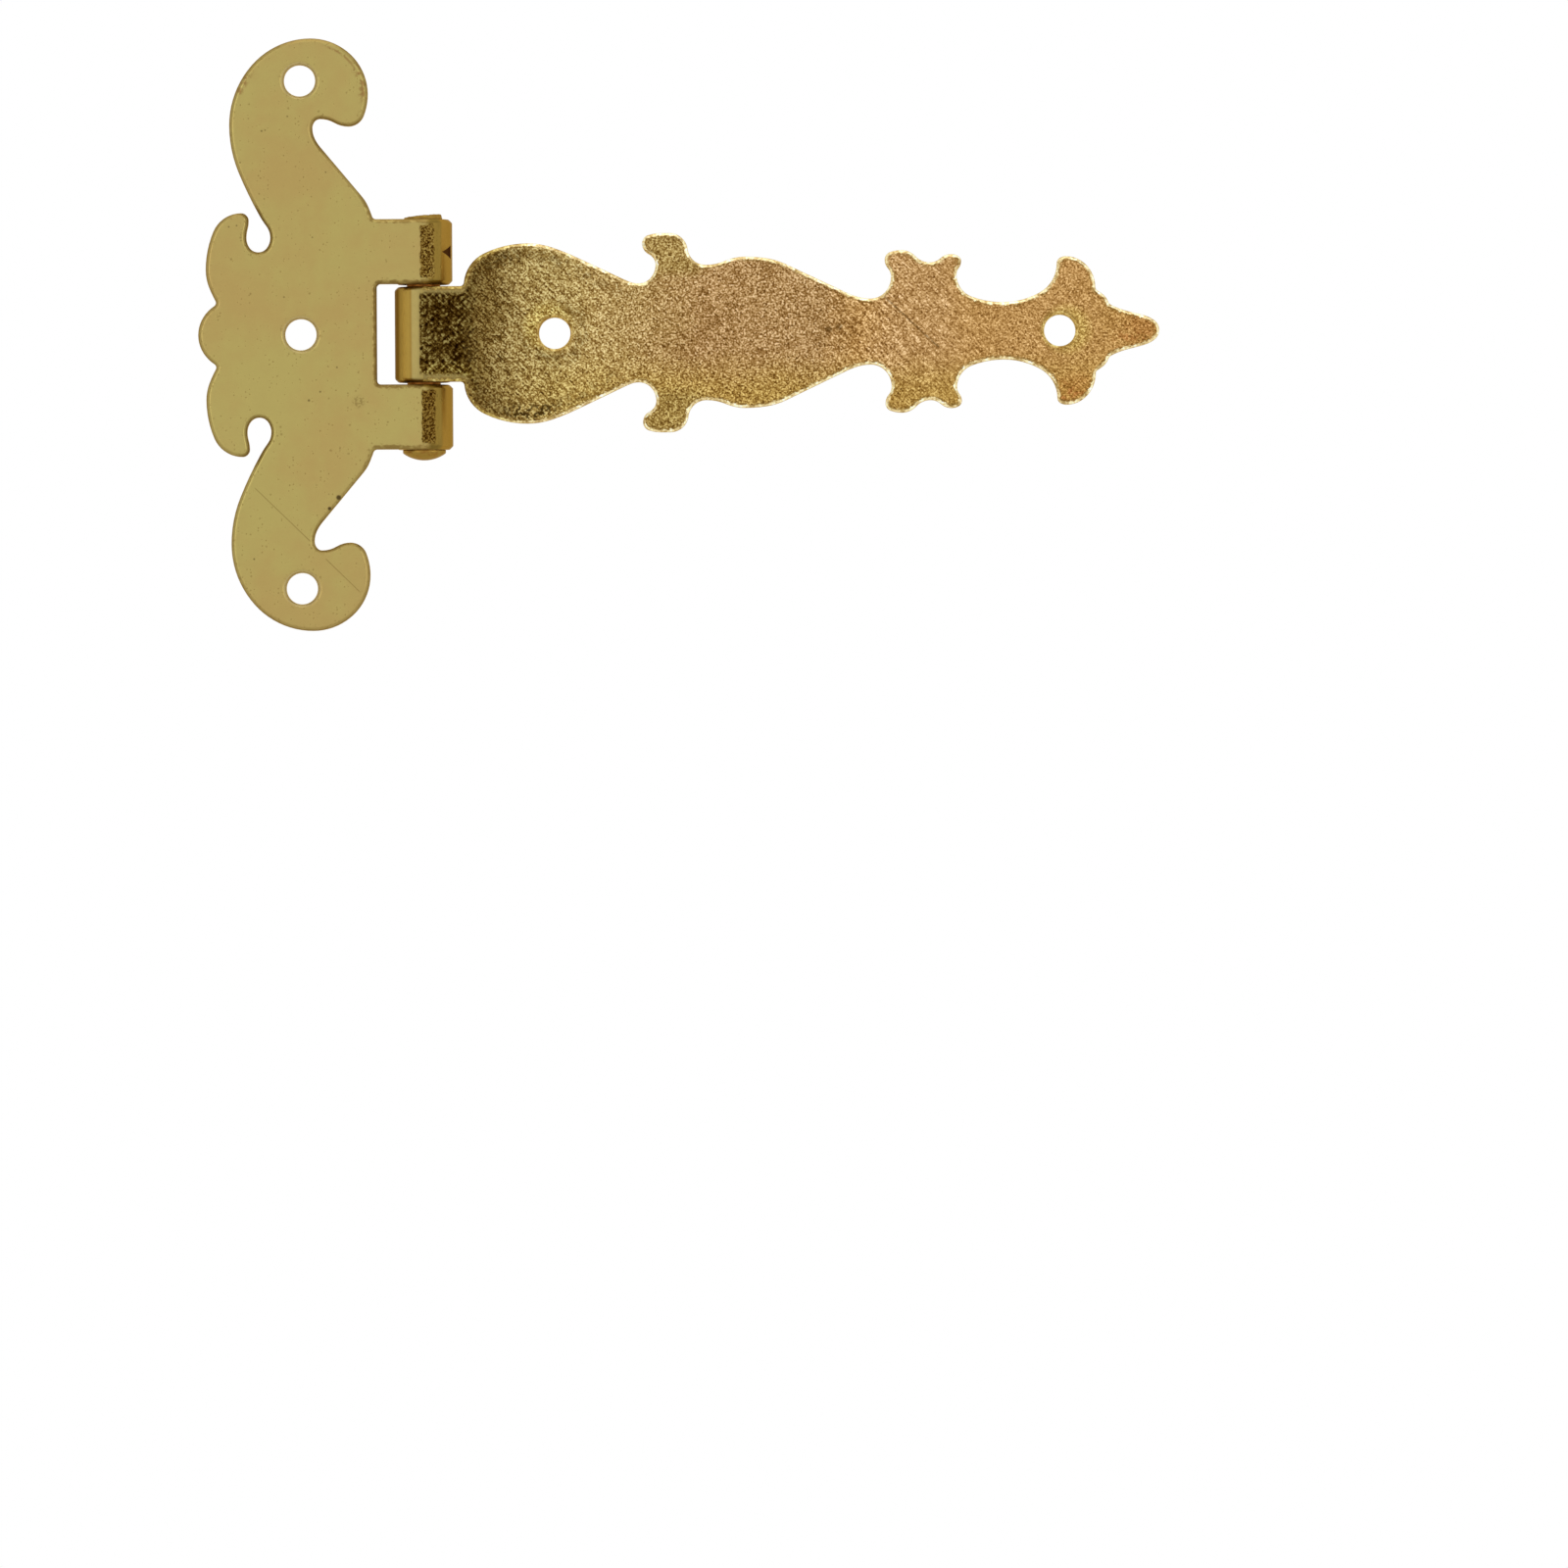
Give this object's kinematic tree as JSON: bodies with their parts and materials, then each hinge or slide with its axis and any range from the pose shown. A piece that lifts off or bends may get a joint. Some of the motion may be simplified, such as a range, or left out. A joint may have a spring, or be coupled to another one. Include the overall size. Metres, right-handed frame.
{
  "type": "tee hinge",
  "caption": "Ornamental tee hinge: a scrolled plate leaf and a fretted strap leaf turn on a riveted pin and screw flush to a frame and to a door, lid or shutter.",
  "frame": {"origin": "middle screw hole of the plate leaf, in the flush face that seats on the frame", "axes": "+X along the strap to its tip, +Z along the pin, away from its domed head, -Y out of the flush face; the barrel stands proud towards +Y"},
  "size_m": [0.1226, 0.0074, 0.0756],
  "materials": {
    "plate_finish": "satin brass plating on stamped steel sheet, with fine pits and scratches",
    "strap_finish": "grainy brass plating on stamped steel sheet, mottled, brighter along its edges",
    "pin_finish": "smooth brass plating on a steel rivet pin"
  },
  "bodies": {
    "plate": {"plate_leaf": "plate_finish", "hinge_pin": "pin_finish"},
    "strap": {"strap_leaf": "strap_finish"}
  },
  "joints": [
    {"name": "strap_swing", "type": "hinge", "parent": "plate", "child": "strap", "pos_m": [0.0156, 0.0037, 0], "axis": [0, 0, 1], "range_deg": [-108, 188]}
  ]
}
